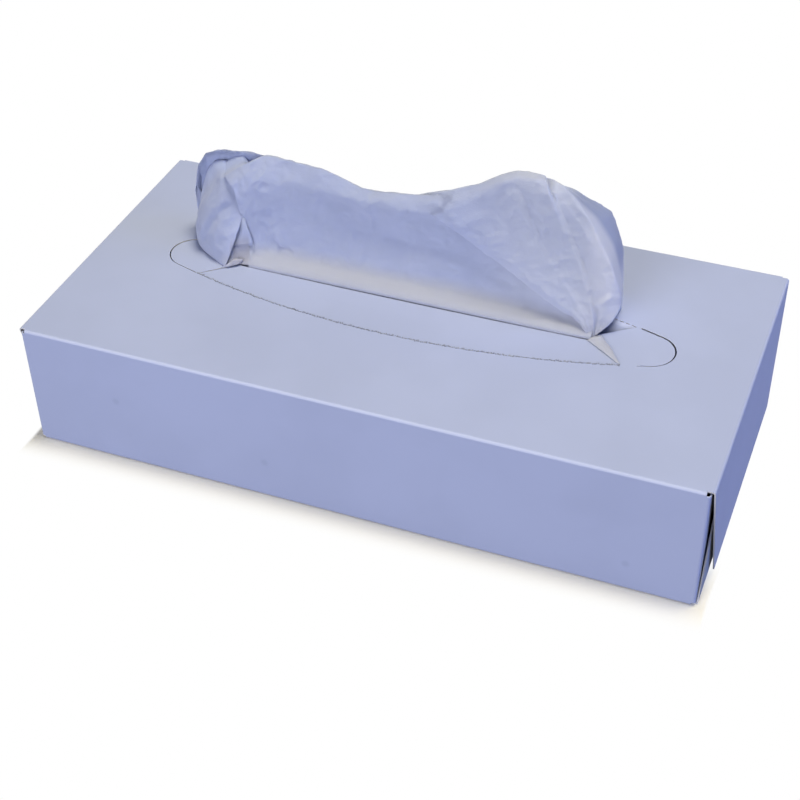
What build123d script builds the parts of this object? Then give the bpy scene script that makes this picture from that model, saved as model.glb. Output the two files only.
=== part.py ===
from build123d import *
import os
from math import asin, cos, degrees, pi, radians, sin, sqrt, tan

# A flat carton of facial tissues, with one tissue drawn up through the slot in its top panel.
# Millimetres. Origin at the middle of the underside, X along the carton, front towards -Y, Z up.

# Carton, one folded and pasted sheet of board
carton_length = 230.0
carton_width = 115.0
carton_height = 46.0
board = 0.45
fold_radius = 1.0
paste = 0.05
seam_flap_height = 14.0

# Closing flaps at each end
corner_relief = 1.2
outer_flap_taper = 15.0
outer_flap_short = 2.0
outer_flap_spring = 1.5
inner_flap_taper = 15.0
inner_flap_short = 4.0
dust_flap_length = 42.0
dust_flap_taper = 6.0
dust_flap_over = 4.0

# Oval opening in the top panel
opening_length = 178.0
opening_width = 41.4
opening_end_radius = 8.2
opening_offset = 2.0
end_tab_length = 15.0
slot_length = 127.0
slot_width = 3.0
slot_offset = 1.0
front_flap_bend = 3.0
rear_flap_bend = 42.0
die_cut = 0.3
perforation_pitch = 2.2
perforation_cut = 1.5
right_nick = 5.0
rear_nick = 1.5
rear_gape = 0.4

# Pack of interfolded tissues that is left in the carton
stack_end_room = 8.0
stack_side_room = 4.5
stack_height = 29.0
stack_edge_radius = 4.0

# Tissue drawn up through the slot
tissue_thickness = 0.6
tissue_clearance = 0.3
foot_depth = 40.0
foot_bend_radius = 4.0
neck_inset = 4.0
neck_thickness = 0.8
neck_drop = 1.5

# Hood of the tissue above the top panel
hood_front = 8.5
hood_waist = 9.5
hood_back = 26.0
ridge_back = 14.5
ridge_half_width = 4.0
hood_end_height = 38.0
dip_height = 31.5
dip_left = 10.0
peak_height = 49.5
peak_right = 36.0
left_spread = 4.5
right_spread = 7.5
tip_reach = 4.5
tip_height = 33.0
tip_back = 9.0
tip_front = 8.0

# Heights up a cut through the hood, as shares of its ridge height
flare_share = 0.22
waist_share = 0.62
front_crest_share = 0.92
rear_crest_share = 0.86
back_share = 0.4

# Lobe that hangs beside the slot at the left
lobe_reach = 22.5
lobe_height = 24.0
lobe_front = 2.0
lobe_low_back = 4.0
lobe_ridge_back = 9.0
lobe_back = 16.0
mouth_offset = 5.0
mouth_width = 9.0
mouth_height = 20.0

# Lap of the tissue at the right, folded forward over the hood's front
lap_thickness = 0.8
lap_length = 46.0
lap_height = 33.0
lap_foot = 2.0

# Values that follow from the sizes above
top_face = carton_height
middle_radius = fold_radius - board / 2
layer = board + paste
outer_flap_x = carton_length / 2 - board / 2
inner_flap_x = outer_flap_x - layer
dust_flap_x = inner_flap_x - layer
sleeve_half_length = dust_flap_x - corner_relief
flap_half_width = carton_width / 2 - corner_relief
half_length = opening_length / 2
half_width = opening_width / 2
crease_length = opening_length - 2 * end_tab_length
arc_radius = ((half_length - opening_end_radius) ** 2 + half_width ** 2 - opening_end_radius ** 2) / (
    2 * (half_width - opening_end_radius)
)
slot_middle = opening_offset + slot_offset
stack_length = carton_length - 2 * stack_end_room
stack_width = carton_width - 2 * stack_side_room
stack_top = board + stack_height
neck_end = slot_length / 2 - neck_inset
bridge = perforation_pitch - perforation_cut


def slab(low, high):
    """A box between two opposite corners."""
    size = [b - a for a, b in zip(low, high)]
    return Pos(*low) * Box(*size, align=(Align.MIN, Align.MIN, Align.MIN))


def strip(points, radius, thickness, plane, reach):
    """A folded strip: a bent centre line with a thickness, drawn out to both sides of a plane."""
    band = trace(FilletPolyline(*points, radius=radius), thickness)
    return extrude(plane * band, amount=reach, both=True)


def end_blank(points, first_x, last_x):
    """The outline of an end flap, seen along X, as a block that trims its strip."""
    face = Plane.YZ * make_face(Polyline(*points, close=True))
    return Pos(first_x, 0, 0) * extrude(face, amount=last_x - first_x)


def arc_y(side, x):
    """Where the long arc of the opening runs, at the front (-1) or rear (1)."""
    return opening_offset + side * (half_width - arc_radius + sqrt(arc_radius ** 2 - x ** 2))


def sleeve():
    """Top, front, bottom and rear panels, with the seam flap pasted up the inside of the rear panel."""
    section = RectangleRounded(carton_width, carton_height, fold_radius) - RectangleRounded(
        carton_width - 2 * board, carton_height - 2 * board, fold_radius - board
    )
    panels = extrude(Plane.YZ * section, amount=sleeve_half_length, both=True)
    rear_inside = carton_width / 2 - board
    seam_flap = slab(
        (-sleeve_half_length, rear_inside - board, fold_radius),
        (sleeve_half_length, rear_inside, seam_flap_height),
    )
    return Pos(0, 0, carton_height / 2) * panels + seam_flap


def outer_flap():
    """The flap folded down from the top panel, sprung a little away from the end."""
    top = carton_height - board / 2
    lean = tan(radians(outer_flap_spring)) * (top - outer_flap_short)
    line = [(sleeve_half_length, top), (outer_flap_x, top), (outer_flap_x + lean, outer_flap_short)]
    bent = strip(line, middle_radius, board, Plane.XZ, flap_half_width)
    low_half = flap_half_width - outer_flap_taper
    blank = end_blank(
        [
            (-flap_half_width, carton_height),
            (flap_half_width, carton_height),
            (flap_half_width, carton_height - fold_radius),
            (low_half, 0),
            (-low_half, 0),
            (-flap_half_width, carton_height - fold_radius),
        ],
        sleeve_half_length,
        outer_flap_x + lean + board,
    )
    return bent & blank


def inner_flap():
    """The flap folded up from the bottom panel, behind the outer one."""
    top = carton_height - inner_flap_short
    line = [(sleeve_half_length, board / 2), (inner_flap_x, board / 2), (inner_flap_x, top)]
    bent = strip(line, middle_radius, board, Plane.XZ, flap_half_width)
    high_half = flap_half_width - inner_flap_taper
    blank = end_blank(
        [
            (-flap_half_width, 0),
            (flap_half_width, 0),
            (flap_half_width, fold_radius),
            (high_half, top),
            (-high_half, top),
            (-flap_half_width, fold_radius),
        ],
        sleeve_half_length,
        inner_flap_x + board,
    )
    return bent & blank


def dust_flap():
    """The flap folded in from the rear panel, past square, behind the other two."""
    fold_y = carton_width / 2 - board / 2
    end_y = fold_y - dust_flap_length
    end_x = dust_flap_x - tan(radians(dust_flap_over)) * dust_flap_length
    line = [(sleeve_half_length, fold_y), (dust_flap_x, fold_y), (end_x, end_y)]
    bent = Pos(0, 0, carton_height / 2) * strip(
        line, middle_radius, board, Plane.XY, carton_height / 2 - corner_relief
    )
    high = carton_height - corner_relief
    blank = end_blank(
        [
            (carton_width / 2, corner_relief),
            (carton_width / 2, high),
            (fold_y - fold_radius, high),
            (end_y, high - dust_flap_taper),
            (end_y, corner_relief + dust_flap_taper),
            (fold_y - fold_radius, corner_relief),
        ],
        end_x - board,
        dust_flap_x + board,
    )
    return bent & blank


def oval(grow):
    """The outline of the opening: two long arcs that run smoothly into two short ones."""
    far = half_length + grow
    deep = half_width + grow
    turn_x = (arc_radius + grow) * (half_length - opening_end_radius) / (arc_radius - opening_end_radius)
    turn_y = (arc_radius - half_width) * (opening_end_radius + grow) / (arc_radius - opening_end_radius)
    outline = [
        ThreePointArc((-turn_x, turn_y), (0, deep), (turn_x, turn_y)),
        ThreePointArc((turn_x, turn_y), (far, 0), (turn_x, -turn_y)),
        ThreePointArc((turn_x, -turn_y), (0, -deep), (-turn_x, -turn_y)),
        ThreePointArc((-turn_x, -turn_y), (-far, 0), (-turn_x, turn_y)),
    ]
    return Pos(0, opening_offset) * make_face(outline)


def flap_pattern(side, trim):
    """One flap of the opening before it is bent: its creased arc, its free edge and its two cut ends."""
    crease_x = crease_length / 2 - trim
    free_x = slot_length / 2 - trim
    free_y = slot_middle + side * slot_width / 2
    crease_y = arc_y(side, crease_x)
    outline = [
        ThreePointArc((-crease_x, crease_y), (0, arc_y(side, 0)), (crease_x, crease_y)),
        Line((crease_x, crease_y), (free_x, free_y)),
        Line((free_x, free_y), (-free_x, free_y)),
        Line((-free_x, free_y), (-crease_x, crease_y)),
    ]
    return Pos(0, 0, top_face) * make_face(outline)


def bent_flap(side, bend):
    """A flap of the opening turned down about its curved crease, as a sheet rolled along one direction.

    Every point of the flat flap moves the same way, so its outline is carried along that direction.
    """
    angle = radians(bend)
    depth = half_width + slot_width
    across = crease_length / 2 + board
    outward = side * board / sin(angle)
    near = arc_y(side, across)
    start = Pos(0, 0, top_face) * make_face([
        ThreePointArc((-across, near), (0, arc_y(side, 0)), (across, near)),
        Line((across, near), (across, near + outward)),
        ThreePointArc((across, near + outward), (0, arc_y(side, 0) + outward), (-across, near + outward)),
        Line((-across, near + outward), (-across, near)),
    ])
    ruling = Vector(0, -side * cos(angle), -sin(angle)) * (depth + board / sin(angle))
    carry = Vector(0, side * tan(angle / 2), -1) * depth
    rolled = Solid.extrude(start.faces()[0], ruling)
    outline = Solid.extrude(flap_pattern(side, die_cut).faces()[0], carry)
    return Part() + (rolled & outline)


def perforations():
    """The row of cuts along the crease of each flap."""
    half_angle = asin(crease_length / 2 / arc_radius)
    count = int(2 * half_angle * arc_radius // perforation_pitch)
    cuts = []
    for side in (-1, 1):
        for index in range(count):
            turn = (index - (count - 1) / 2) * perforation_pitch / arc_radius
            x = arc_radius * sin(turn)
            place = Location((x, arc_y(side, x), top_face), (0, 0, -side * degrees(turn)))
            cuts.append(place * Box(perforation_cut, die_cut, 4 * board))
    return cuts


def end_cuts():
    """The cut round each end of the opening, less the nicks that still hold the end tab.

    It gapes towards the rear, where the opened flap has drawn the tab away from the panel.
    """
    ring = Pos(0, rear_gape / 2) * oval((die_cut + rear_gape) / 2) - oval(-die_cut / 2)
    ring = Pos(0, 0, top_face - 2 * board) * extrude(ring, amount=4 * board)
    crease_x = crease_length / 2
    far_y = opening_width
    cuts = []
    for end, side, nick in ((-1, -1, bridge), (1, -1, right_nick), (-1, 1, rear_nick), (1, 1, rear_nick)):
        start = (crease_x + nick, min(0, side * far_y) + opening_offset, top_face - 2 * board)
        stop = (carton_length / 2, max(0, side * far_y) + opening_offset, top_face + 2 * board)
        quarter = ring & slab(start, stop)
        cuts.append(quarter if end > 0 else mirror(quarter, about=Plane.YZ))
    return cuts


def carton():
    """The whole folded carton as one sheet of board."""
    flaps = outer_flap() + inner_flap() + dust_flap() + mirror(dust_flap(), about=Plane.XZ)
    body = sleeve() + flaps + mirror(flaps, about=Plane.YZ)
    gap = Pos(0, slot_middle, top_face) * Rectangle(slot_length, slot_width)
    hole = flap_pattern(-1, 0) + flap_pattern(1, 0) + gap
    body -= Pos(0, 0, -2 * board) * extrude(hole, amount=4 * board)
    body += bent_flap(-1, front_flap_bend)
    body += bent_flap(1, rear_flap_bend)
    for cut in end_cuts():
        body -= cut
    return body.cut(*perforations())


def tissue_stack():
    """The pack of interfolded tissues, with the folds rounded along both long sides."""
    section = Plane.YZ * RectangleRounded(stack_width, stack_height, stack_edge_radius)
    return Pos(0, 0, board + stack_height / 2) * extrude(section, amount=stack_length / 2, both=True)


def rear_edge_y(x):
    """How far back the free edge of the bent rear flap lies."""
    flat_y = slot_middle + slot_width / 2
    return flat_y + (arc_y(1, x) - flat_y) * (1 - cos(radians(rear_flap_bend)))


neck_y = rear_edge_y(slot_length / 2) - tissue_clearance - neck_thickness / 2


def neck():
    """The tissue's foot on the pack and its neck up to the slot, in front of the rear flap."""
    foot_z = stack_top + neck_thickness / 2
    line = [(neck_y + foot_depth, foot_z), (neck_y, foot_z), (neck_y, top_face - neck_drop)]
    return strip(line, foot_bend_radius, neck_thickness, Plane.YZ, neck_end)


def hood_section(low, front_y, ridge, back_y, sides=(0.5 * tissue_thickness, -0.5 * tissue_thickness)):
    """One cut through the tissue above the carton: up the front, over the ridge and down the back.

    The low end and the ridge are points, with heights above the top panel. The cut leans from one to
    the other, so that the hood can spread above the slot. The sides are how far the surfaces lie from
    the middle of the sheet.
    """
    low_x, low_y, low_z = low
    ridge_x, ridge_y, ridge_z = ridge
    centre = [
        (low_y, low_z),
        (low_y, low_z + tissue_thickness),
        (front_y, ridge_z * flare_share),
        (front_y + hood_waist - hood_front, ridge_z * waist_share),
        (ridge_y - ridge_half_width, ridge_z * front_crest_share),
        (ridge_y, ridge_z),
        (ridge_y + ridge_half_width, ridge_z * rear_crest_share),
        (back_y - ridge_half_width / 2, ridge_z * back_share),
        (back_y, tissue_clearance),
    ]
    edges = []
    for reach in sides:
        points = []
        for index, (y, z) in enumerate(centre):
            before = centre[max(index - 1, 0)]
            after = centre[1] if index == 1 else centre[min(index + 1, len(centre) - 1)]
            run = Vector(after[0] - before[0], after[1] - before[1]).normalized()
            y -= reach * run.Y
            z += reach * run.X
            points.append((low_x + (ridge_x - low_x) * z / ridge_z, y, top_face + z))
        edges.append(points)
    outside, inside = edges
    return make_face([
        Spline(*outside),
        Line(outside[-1], inside[-1]),
        Spline(*reversed(inside)),
        Line(inside[0], outside[0]),
    ])


def ridge_height(x):
    """The ridge runs level at the dip and at the peak, and eases from one height to the next."""
    knots = [
        (-neck_end, hood_end_height),
        (-dip_left, dip_height),
        (peak_right, peak_height),
        (neck_end, hood_end_height),
    ]
    for (first_x, first), (last_x, last) in zip(knots, knots[1:]):
        if first_x <= x <= last_x:
            return first + (last - first) * (1 - cos(pi * (x - first_x) / (last_x - first_x))) / 2


def slot_section(x, **layer):
    """A cut through the hood where it rises out of the slot."""
    spread = right_spread if x > 0 else left_spread
    ridge = (x * (1 + spread / neck_end), ridge_back, ridge_height(x))
    return hood_section((x, neck_y, -neck_drop), hood_front, ridge, hood_back, **layer)


def lobe_section(share):
    """A cut through the lobe, at a share of the way from the slot's end to its rounded tip."""
    roundness = sqrt(1 - share ** 2)
    x = -neck_end - lobe_reach * share
    ridge = (
        x - left_spread * roundness,
        lobe_ridge_back + (ridge_back - lobe_ridge_back) * roundness,
        lobe_height + (hood_end_height - lobe_height) * roundness,
    )
    front_y = hood_front + (lobe_front - hood_front) * min(1, 2 * share)
    back_y = lobe_back + (hood_back - lobe_back) * roundness
    return hood_section((x, lobe_low_back, 2 * tissue_clearance), front_y, ridge, back_y)


def fold_mouth():
    """The gap under the fold at the left, between the front of the hood and the lobe that hangs beside it."""
    base_z = top_face - neck_drop
    middle_x = -neck_end - mouth_offset
    outline = Plane.XZ * make_face(Polyline(
        (middle_x - mouth_width / 2, base_z),
        (middle_x + mouth_width / 2, base_z),
        (middle_x, top_face + mouth_height),
        close=True,
    ))
    return extrude(Pos(0, neck_y, 0) * outline, amount=half_width)


def lap():
    """The layer folded over the hood at the right, whose free edge runs down to the slot's right end."""
    sides = (tissue_thickness / 2 + lap_thickness, 0)
    start_x = neck_end - lap_length
    places = [start_x - lap_foot, (start_x + peak_right) / 2, peak_right]
    places += [(peak_right + neck_end) / 2, neck_end]
    layer = loft([slot_section(x, sides=sides) for x in places])
    far_x = neck_end + 2 * right_spread
    high_z = top_face + peak_height + lap_thickness + tissue_thickness
    outline = Plane.XZ * make_face(Polyline(
        (start_x, high_z),
        (start_x, top_face + lap_height),
        (neck_end - lap_foot, top_face + lap_foot),
        (far_x, top_face + lap_foot),
        (far_x, high_z),
        close=True,
    ))
    return layer & extrude(outline, amount=carton_width / 2, both=True)


def raised_tissue():
    """One soft sheet: foot, neck and the hood that stands over the slot, open at both ends."""
    places = [-neck_end, (-neck_end - dip_left) / 2, -dip_left, peak_right / 2, peak_right]
    places += [(peak_right + neck_end) / 2, neck_end]
    middle = [slot_section(x) for x in places]
    lobe = loft([lobe_section(1), lobe_section(0.75), lobe_section(0.4), middle[0]]) - fold_mouth()
    tip_low = (neck_end + tip_reach, tip_back, 3 * tissue_clearance)
    tip_ridge = (neck_end + tip_reach + right_spread, ridge_back, tip_height)
    tip = loft([middle[-1], hood_section(tip_low, tip_front, tip_ridge, hood_back)])
    return lobe + loft(middle) + lap() + tip + neck()


def main():
    os.makedirs("parts", exist_ok=True)
    pieces = {"carton": carton(), "tissue_stack": tissue_stack(), "raised_tissue": raised_tissue()}
    for name, piece in pieces.items():
        export_step(piece, f"parts/{name}.step")


main()
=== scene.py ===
"""A flat carton of facial tissues, with one tissue drawn up through the slot in its top panel.

x runs along the carton, y from its front panel to the rear one, and z up from the floor. Lengths are in
metres, apart from the tissue's ribs and folds, which are in millimetres.
"""
import math

import bpy
import numpy as np
from mathutils import Matrix, Vector, noise

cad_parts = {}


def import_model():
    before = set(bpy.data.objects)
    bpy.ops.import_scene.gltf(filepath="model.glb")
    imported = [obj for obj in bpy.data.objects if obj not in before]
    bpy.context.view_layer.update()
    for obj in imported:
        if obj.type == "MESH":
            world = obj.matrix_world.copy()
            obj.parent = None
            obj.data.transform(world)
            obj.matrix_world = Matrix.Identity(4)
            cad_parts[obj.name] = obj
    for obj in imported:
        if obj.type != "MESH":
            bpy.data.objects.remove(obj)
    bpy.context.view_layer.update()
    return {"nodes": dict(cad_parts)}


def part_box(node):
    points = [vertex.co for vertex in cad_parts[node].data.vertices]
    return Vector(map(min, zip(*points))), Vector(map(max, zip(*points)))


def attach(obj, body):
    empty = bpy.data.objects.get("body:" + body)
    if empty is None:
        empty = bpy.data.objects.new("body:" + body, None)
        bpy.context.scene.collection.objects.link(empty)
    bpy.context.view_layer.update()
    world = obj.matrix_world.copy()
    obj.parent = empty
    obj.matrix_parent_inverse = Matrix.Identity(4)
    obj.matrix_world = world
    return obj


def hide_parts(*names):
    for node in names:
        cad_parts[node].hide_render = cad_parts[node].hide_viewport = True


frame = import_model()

MM = 0.001

# The carton's outer faces, from the frame
carton_low, carton_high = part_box("carton")
TOP = carton_high.z
FRONT = carton_low.y
END = carton_high.x
HALF_WIDTH = -FRONT

# Opening, as it is cut in the top panel, and the radius of its long creases
OPENING_HALF_LENGTH = 89.0 * MM
OPENING_HALF_WIDTH = 20.7 * MM
OPENING_END_RADIUS = 8.2 * MM
OPENING_OFFSET = 2.0 * MM
CREASE_HALF_LENGTH = 74.0 * MM
ARC_RADIUS = (
    (OPENING_HALF_LENGTH - OPENING_END_RADIUS) ** 2 + OPENING_HALF_WIDTH ** 2 - OPENING_END_RADIUS ** 2
) / (2 * (OPENING_HALF_WIDTH - OPENING_END_RADIUS))

# The tissue's ply thickness
TISSUE_PLY = 0.22 * MM

# Colours, as linear values
WHITE = (1.0, 1.0, 1.0)
PRINT_BLUE = (0.42, 0.46, 0.62)
# A painted highlight along the top panel's folds, partly print cracked pale by the pressing
FOLD_HIGHLIGHT_AND_CRACKED_PRINT = (0.66, 0.68, 0.78)
SMUDGE_BLUE = (0.26, 0.29, 0.42)
BOARD_WHITE = (0.74, 0.74, 0.76)
BOARD_CORE = (0.60, 0.585, 0.57)
TISSUE_BLUE = (0.395, 0.432, 0.602)
# Painted warm light on the tissue's foot at the slot
TISSUE_PAINTED_WARM_LIGHT = (0.43, 0.44, 0.515)
# Painted light on the fan at the right, and a painted highlight on its outer edge
TISSUE_FAN_PAINTED_LIGHT = (0.495, 0.52, 0.64)
TISSUE_FAN_EDGE_PAINTED_HIGHLIGHT = (0.54, 0.55, 0.63)
# Painted shade on the layer behind the lobe
TISSUE_REAR_PAINTED_SHADE = (0.37, 0.42, 0.63)
# Painted shade where the fan turns away from the lamps
TISSUE_TURNED_PAINTED_SHADE = (0.27, 0.31, 0.47)
# Painted shade in the pocket between the lobe and the main face
TISSUE_POCKET_PAINTED_SHADE = (0.34, 0.325, 0.35)
PACK_WHITE = (0.70, 0.69, 0.70)
# The fibres' dark end is painted shade of the perforation's cuts
FIBRE_PAINTED_SHADE = (0.14, 0.15, 0.20)
FIBRE_PALE = (0.42, 0.44, 0.52)


def times(colour, factor):
    """A colour made lighter or darker."""
    return tuple(min(1, c * factor) for c in colour)


# Node trees

def feed(tree, socket, value):
    """An input linked to another node's output, or set to a number, a colour or a vector."""
    if isinstance(value, bpy.types.NodeSocket):
        tree.links.new(value, socket)
    elif socket.type == "RGBA":
        socket.default_value = (*value, 1.0)
    else:
        socket.default_value = value


def add(tree, kind, inputs=None, **settings):
    """A new node with its settings, and with inputs fed by their name or number."""
    node = tree.nodes.new(kind)
    for name, value in settings.items():
        setattr(node, name, value)
    for key, value in (inputs or {}).items():
        feed(tree, node.inputs[key], value)
    return node


def calculate(tree, operation, *values):
    """A Math node's result, from sockets or plain numbers."""
    return add(tree, "ShaderNodeMath", dict(enumerate(values)), operation=operation).outputs[0]


def all_of(tree, *masks):
    """Several masks or shares multiplied."""
    made = masks[0]
    for mask in masks[1:]:
        made = calculate(tree, "MULTIPLY", made, mask)
    return made


def any_of(tree, *masks):
    """The highest of several masks."""
    made = masks[0]
    for mask in masks[1:]:
        made = calculate(tree, "MAXIMUM", made, mask)
    return made


def ramp(tree, value, start, end):
    """A smooth mask that goes from 0 at start to 1 at end. The start may be the higher of the two."""
    rises = start < end
    inputs = {"Value": value, "From Min": min(start, end), "From Max": max(start, end),
              "To Min": 0.0 if rises else 1.0, "To Max": 1.0 if rises else 0.0}
    return add(tree, "ShaderNodeMapRange", inputs, interpolation_type="SMOOTHSTEP").outputs["Result"]


def mixed(tree, mask, first, second):
    """A colour that goes from first to second with the mask."""
    node = add(tree, "ShaderNodeMix", {"Factor": mask}, data_type="RGBA")
    colour_inputs = [s for s in node.inputs if s.type == "RGBA"]
    for socket, value in zip(colour_inputs, (first, second)):
        feed(tree, socket, value)
    return [s for s in node.outputs if s.type == "RGBA"][0]


def tinted(tree, base, colour, share, mask):
    """The base colour taken a share of the way to another one, where the mask is 1."""
    return mixed(tree, all_of(tree, mask, share), base, colour)


def split(tree, vector):
    """A vector's three parts."""
    return add(tree, "ShaderNodeSeparateXYZ", {0: vector}).outputs


def object_place(tree):
    """The place on the object."""
    return tree.nodes.new("ShaderNodeTexCoord").outputs["Object"]


def raised_normal(tree, height, strength, distance):
    """The surface's normal as a height bends it."""
    inputs = {"Height": height, "Strength": strength, "Distance": distance}
    return add(tree, "ShaderNodeBump", inputs).outputs["Normal"]


def seen_directly(tree):
    """1 for what is looked at, also in a reflection or through something clear, and 0 for light on things."""
    rays = tree.nodes.new("ShaderNodeLightPath").outputs
    return any_of(tree, rays["Is Glossy Ray"], rays["Is Transmission Ray"], rays["Is Camera Ray"])


def new_group(name, inputs, outputs):
    """A shader node group with nothing in it but its two ends, which have named inputs and outputs."""
    tree = bpy.data.node_groups.new(name, "ShaderNodeTree")
    for label, kind, default in inputs:
        socket = tree.interface.new_socket(label, in_out="INPUT", socket_type=kind)
        if default is not None:
            socket.default_value = default
    for label, kind in outputs:
        tree.interface.new_socket(label, in_out="OUTPUT", socket_type=kind)
    return tree, tree.nodes.new("NodeGroupInput"), tree.nodes.new("NodeGroupOutput")


def paper_fibre_group():
    """The cloudy, fibrous surface that board and tissue share: a height for bump and a tone for colour."""
    tree, start, end = new_group(
        "paper_fibre",
        [("Place", "NodeSocketVector", None), ("Fibre Scale", "NodeSocketFloat", 900.0),
         ("Cloud Scale", "NodeSocketFloat", 60.0), ("Fibre Share", "NodeSocketFloat", 0.6)],
        [("Height", "NodeSocketFloat"), ("Tone", "NodeSocketFloat")],
    )
    given = start.outputs
    fibre = add(tree, "ShaderNodeTexNoise",
                {"Vector": given["Place"], "Scale": given["Fibre Scale"], "Detail": 4.0, "Roughness": 0.65})
    cloud = add(tree, "ShaderNodeTexNoise",
                {"Vector": given["Place"], "Scale": given["Cloud Scale"], "Detail": 3.0, "Roughness": 0.5})
    fine = all_of(tree, fibre.outputs[0], given["Fibre Share"])
    coarse = all_of(tree, cloud.outputs[0], calculate(tree, "SUBTRACT", 1.0, given["Fibre Share"]))
    feed(tree, end.inputs["Height"], calculate(tree, "ADD", fine, coarse))
    feed(tree, end.inputs["Tone"], cloud.outputs[0])
    return tree


PAPER_FIBRE = paper_fibre_group()


def paper_fibre(tree, place, fibre_scale, cloud_scale, fibre_share):
    """The group's height and tone, with a material's own values."""
    node = tree.nodes.new("ShaderNodeGroup")
    node.node_tree = PAPER_FIBRE
    given = {"Place": place, "Fibre Scale": fibre_scale, "Cloud Scale": cloud_scale,
             "Fibre Share": fibre_share}
    for name, value in given.items():
        feed(tree, node.inputs[name], value)
    return node.outputs


def bare_material(name):
    """A material with only an output, its tree, and the output's surface."""
    material = bpy.data.materials.new(name)
    material.use_nodes = True
    tree = material.node_tree
    tree.nodes.clear()
    return material, tree, tree.nodes.new("ShaderNodeOutputMaterial").inputs["Surface"]


def finish_material(tree, surface, inputs):
    """A Principled shader with its inputs fed, as the material's surface."""
    shader = add(tree, "ShaderNodeBsdfPrincipled", inputs)
    feed(tree, surface, shader.outputs[0])


# Board

# The print comes in between these shares of a face's normal, and these depths below a panel's outer face
LOOKS_OUT = (0.2, 0.45)
SKIN = (1.2 * MM, 1.0 * MM)
# Faces that look up are printed from these heights on, and those that look along the carton from these x on
TOP_FACES = (0.70 * TOP, 0.72 * TOP)
END_FACES = (114.7 * MM, 114.8 * MM)

# A pressed fold is round: its normal's upright share is between these, and it lies this near to the top
FOLD_FROM_SIDE = (0.06, 0.4)
FOLD_FROM_TOP = (0.995, 0.9)
FOLD_DEPTH = (1.2 * MM, 0.9 * MM)

# Dull marks on the front panel, as x and z in millimetres, and how far out each starts and is whole
SMUDGES = [(-81.5, 25.0), (-28.5, 14.5), (91.5, 10.5)]
SMUDGE_REACH = (1.9 * MM, 0.4 * MM)


def printed_mask(tree, place, normal):
    """1 on the printed side of the board, which is what faces out of the carton."""
    x, y, z = split(tree, place)
    nx, ny, nz = split(tree, normal)
    top = all_of(tree, ramp(tree, nz, *LOOKS_OUT), ramp(tree, z, *TOP_FACES))
    bottom = all_of(tree, ramp(tree, nz, -LOOKS_OUT[0], -LOOKS_OUT[1]), ramp(tree, z, *SKIN))
    outward_y = all_of(tree, ny, calculate(tree, "SIGN", y))
    side = all_of(tree, ramp(tree, outward_y, *LOOKS_OUT),
                  ramp(tree, calculate(tree, "ABSOLUTE", y), HALF_WIDTH - SKIN[0], HALF_WIDTH - SKIN[1]))
    outward_x = all_of(tree, nx, calculate(tree, "SIGN", x))
    end = all_of(tree, ramp(tree, outward_x, *LOOKS_OUT),
                 ramp(tree, calculate(tree, "ABSOLUTE", x), *END_FACES))
    return any_of(tree, top, bottom, side, end)


def fold_mask(tree, place, upright):
    """1 on the pressed folds at the top panel's edges, which look neither up nor out."""
    height = split(tree, place)[2]
    return all_of(tree, ramp(tree, upright, *FOLD_FROM_SIDE), ramp(tree, upright, *FOLD_FROM_TOP),
                  ramp(tree, height, TOP - FOLD_DEPTH[0], TOP - FOLD_DEPTH[1]))


def smudge_mask(tree, place):
    """1 at the middle of each dull mark."""
    marks = []
    for x, z in SMUDGES:
        spot = add(tree, "ShaderNodeVectorMath", {0: place, 1: (x * MM, FRONT, z * MM)}, operation="DISTANCE")
        marks.append(ramp(tree, spot.outputs["Value"], *SMUDGE_REACH))
    return any_of(tree, *marks)


def board_material():
    """Coated board: printed lavender blue on the outside, white inside, grey-brown at its cut edges, with a
    painted highlight along its top folds that is partly print cracked pale by the pressing.
    """
    material, tree, surface = bare_material("coated_board")
    place = object_place(tree)
    normal = tree.nodes.new("ShaderNodeNewGeometry").outputs["True Normal"]
    upright = calculate(tree, "ABSOLUTE", split(tree, normal)[2])
    printed = printed_mask(tree, place, normal)
    paper = paper_fibre(tree, place, fibre_scale=1400.0, cloud_scale=25.0, fibre_share=0.75)

    print_colour = mixed(tree, ramp(tree, paper["Tone"], 0.35, 0.65), PRINT_BLUE, times(PRINT_BLUE, 1.045))
    # The folds' print is lightened: a painted highlight, partly print cracked pale by the pressing
    fold = all_of(tree, fold_mask(tree, place, upright), printed)
    print_colour = tinted(tree, print_colour, FOLD_HIGHLIGHT_AND_CRACKED_PRINT, 0.30, fold)
    print_colour = tinted(tree, print_colour, SMUDGE_BLUE, 0.22, smudge_mask(tree, place))
    inner_colour = mixed(tree, ramp(tree, upright, 0.3, 0.6), BOARD_CORE, BOARD_WHITE)
    finish_material(tree, surface, {
        "Base Color": mixed(tree, printed, inner_colour, print_colour),
        "Roughness": mixed(tree, printed, (0.85,) * 3, (0.48,) * 3),
        "Specular IOR Level": 0.04,
        "Normal": raised_normal(tree, paper["Height"], strength=0.10, distance=0.12 * MM),
    })
    return material


# Tissue's finish

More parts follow.
